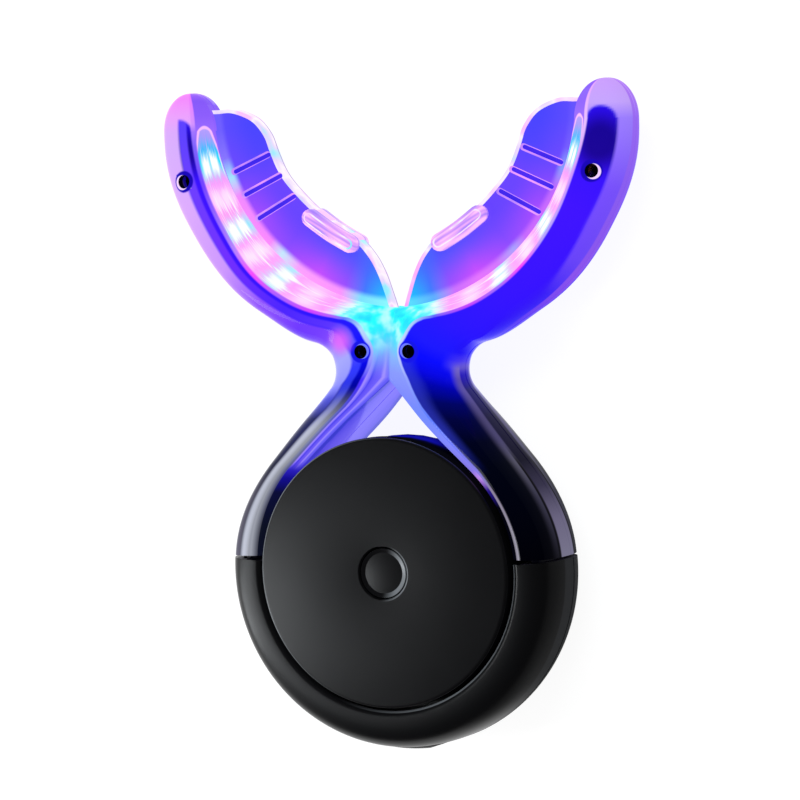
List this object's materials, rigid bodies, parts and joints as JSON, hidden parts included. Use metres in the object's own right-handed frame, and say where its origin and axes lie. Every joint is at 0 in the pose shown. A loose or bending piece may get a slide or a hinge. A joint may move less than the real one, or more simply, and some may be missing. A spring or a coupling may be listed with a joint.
{
  "type": "teeth whitening lamp",
  "caption": "Winged, lit mouth tray with soft bite plates, on clear arms that grow out of a flat, round, black battery puck with a push button in its face.",
  "frame": {"origin": "on the puck's axis, at the flat back face of the puck that the lamp lies on", "axes": "+Z along the puck's axis from its back cover to the cover with the button, +Y from the puck towards the mouth tray, +X to the tray's right wing"},
  "size_m": [0.067, 0.0858, 0.0164],
  "materials": {
    "matte_black_plastic": "fine matt, soft touch",
    "black_rubber": "matt",
    "board_green": "solder mask",
    "bright_steel": "satin",
    "battery_foil": "pouch foil",
    "black_foam": "foamed",
    "clear_blue_lit_plastic": "clear, polished, lit blue and violet from inside",
    "clear_silicone": "clear, satin",
    "dark_core_plastic": "satin",
    "flex_amber": "satin film",
    "blue_led": "lit",
    "red_led": "lit"
  },
  "bodies": {
    "lamp": {"front_cover": "matte_black_plastic", "rear_cover": "matte_black_plastic", "tact_switch": "matte_black_plastic", "core_drum": "matte_black_plastic", "controller_chip": "matte_black_plastic", "buzzer": "matte_black_plastic", "base_shell_front": "matte_black_plastic", "base_shell_rear": "matte_black_plastic", "flex_connector_right": "matte_black_plastic", "flex_connector_left": "matte_black_plastic", "main_board": "board_green", "board_screw_1": "bright_steel", "board_screw_2": "bright_steel", "board_screw_3": "bright_steel", "charge_socket": "bright_steel", "locating_pin_waist_right": "bright_steel", "locating_pin_waist_left": "bright_steel", "locating_pin_wing_right": "bright_steel", "locating_pin_wing_left": "bright_steel", "battery_cell": "battery_foil", "battery_foam": "black_foam", "clear_shell_front": "clear_blue_lit_plastic", "clear_shell_rear": "clear_blue_lit_plastic", "mouthpiece": "clear_silicone", "arm_core_right": "dark_core_plastic", "arm_core_left": "dark_core_plastic", "led_flex_right": "flex_amber", "led_flex_left": "flex_amber", "led_front_1_right": "blue_led", "led_front_3_right": "blue_led", "led_front_5_right": "blue_led", "led_front_7_right": "blue_led", "led_rear_1_right": "blue_led", "led_rear_3_right": "blue_led", "led_rear_5_right": "blue_led", "led_rear_7_right": "blue_led", "led_front_1_left": "blue_led", "led_front_3_left": "blue_led", "led_front_5_left": "blue_led", "led_front_7_left": "blue_led", "led_rear_1_left": "blue_led", "led_rear_3_left": "blue_led", "led_rear_5_left": "blue_led", "led_rear_7_left": "blue_led", "led_front_2_right": "red_led", "led_front_4_right": "red_led", "led_front_6_right": "red_led", "led_rear_2_right": "red_led", "led_rear_4_right": "red_led", "led_rear_6_right": "red_led", "led_front_2_left": "red_led", "led_front_4_left": "red_led", "led_front_6_left": "red_led", "led_rear_2_left": "red_led", "led_rear_4_left": "red_led", "led_rear_6_left": "red_led"},
    "button": {"power_button": "matte_black_plastic"},
    "plunger": {"switch_plunger": "black_rubber"},
    "plug": {"port_plug": "black_rubber"}
  },
  "joints": [
    {"name": "button_press", "type": "slide", "parent": "lamp", "child": "button", "axis": [0, 0, -1], "range_m": [0, 0.0005], "stiffness_N_per_m": 400},
    {"name": "plunger_press", "type": "slide", "parent": "lamp", "child": "plunger", "axis": [0, 0, -1], "range_m": [0, 0.00025]},
    {"name": "plug_pull", "type": "slide", "parent": "lamp", "child": "plug", "axis": [0, -1, 0], "range_m": [0, 0.0035]}
  ],
  "couplings": [
    {"joint": "plunger_press", "follows": "button_press", "ratio": 0.5}
  ]
}
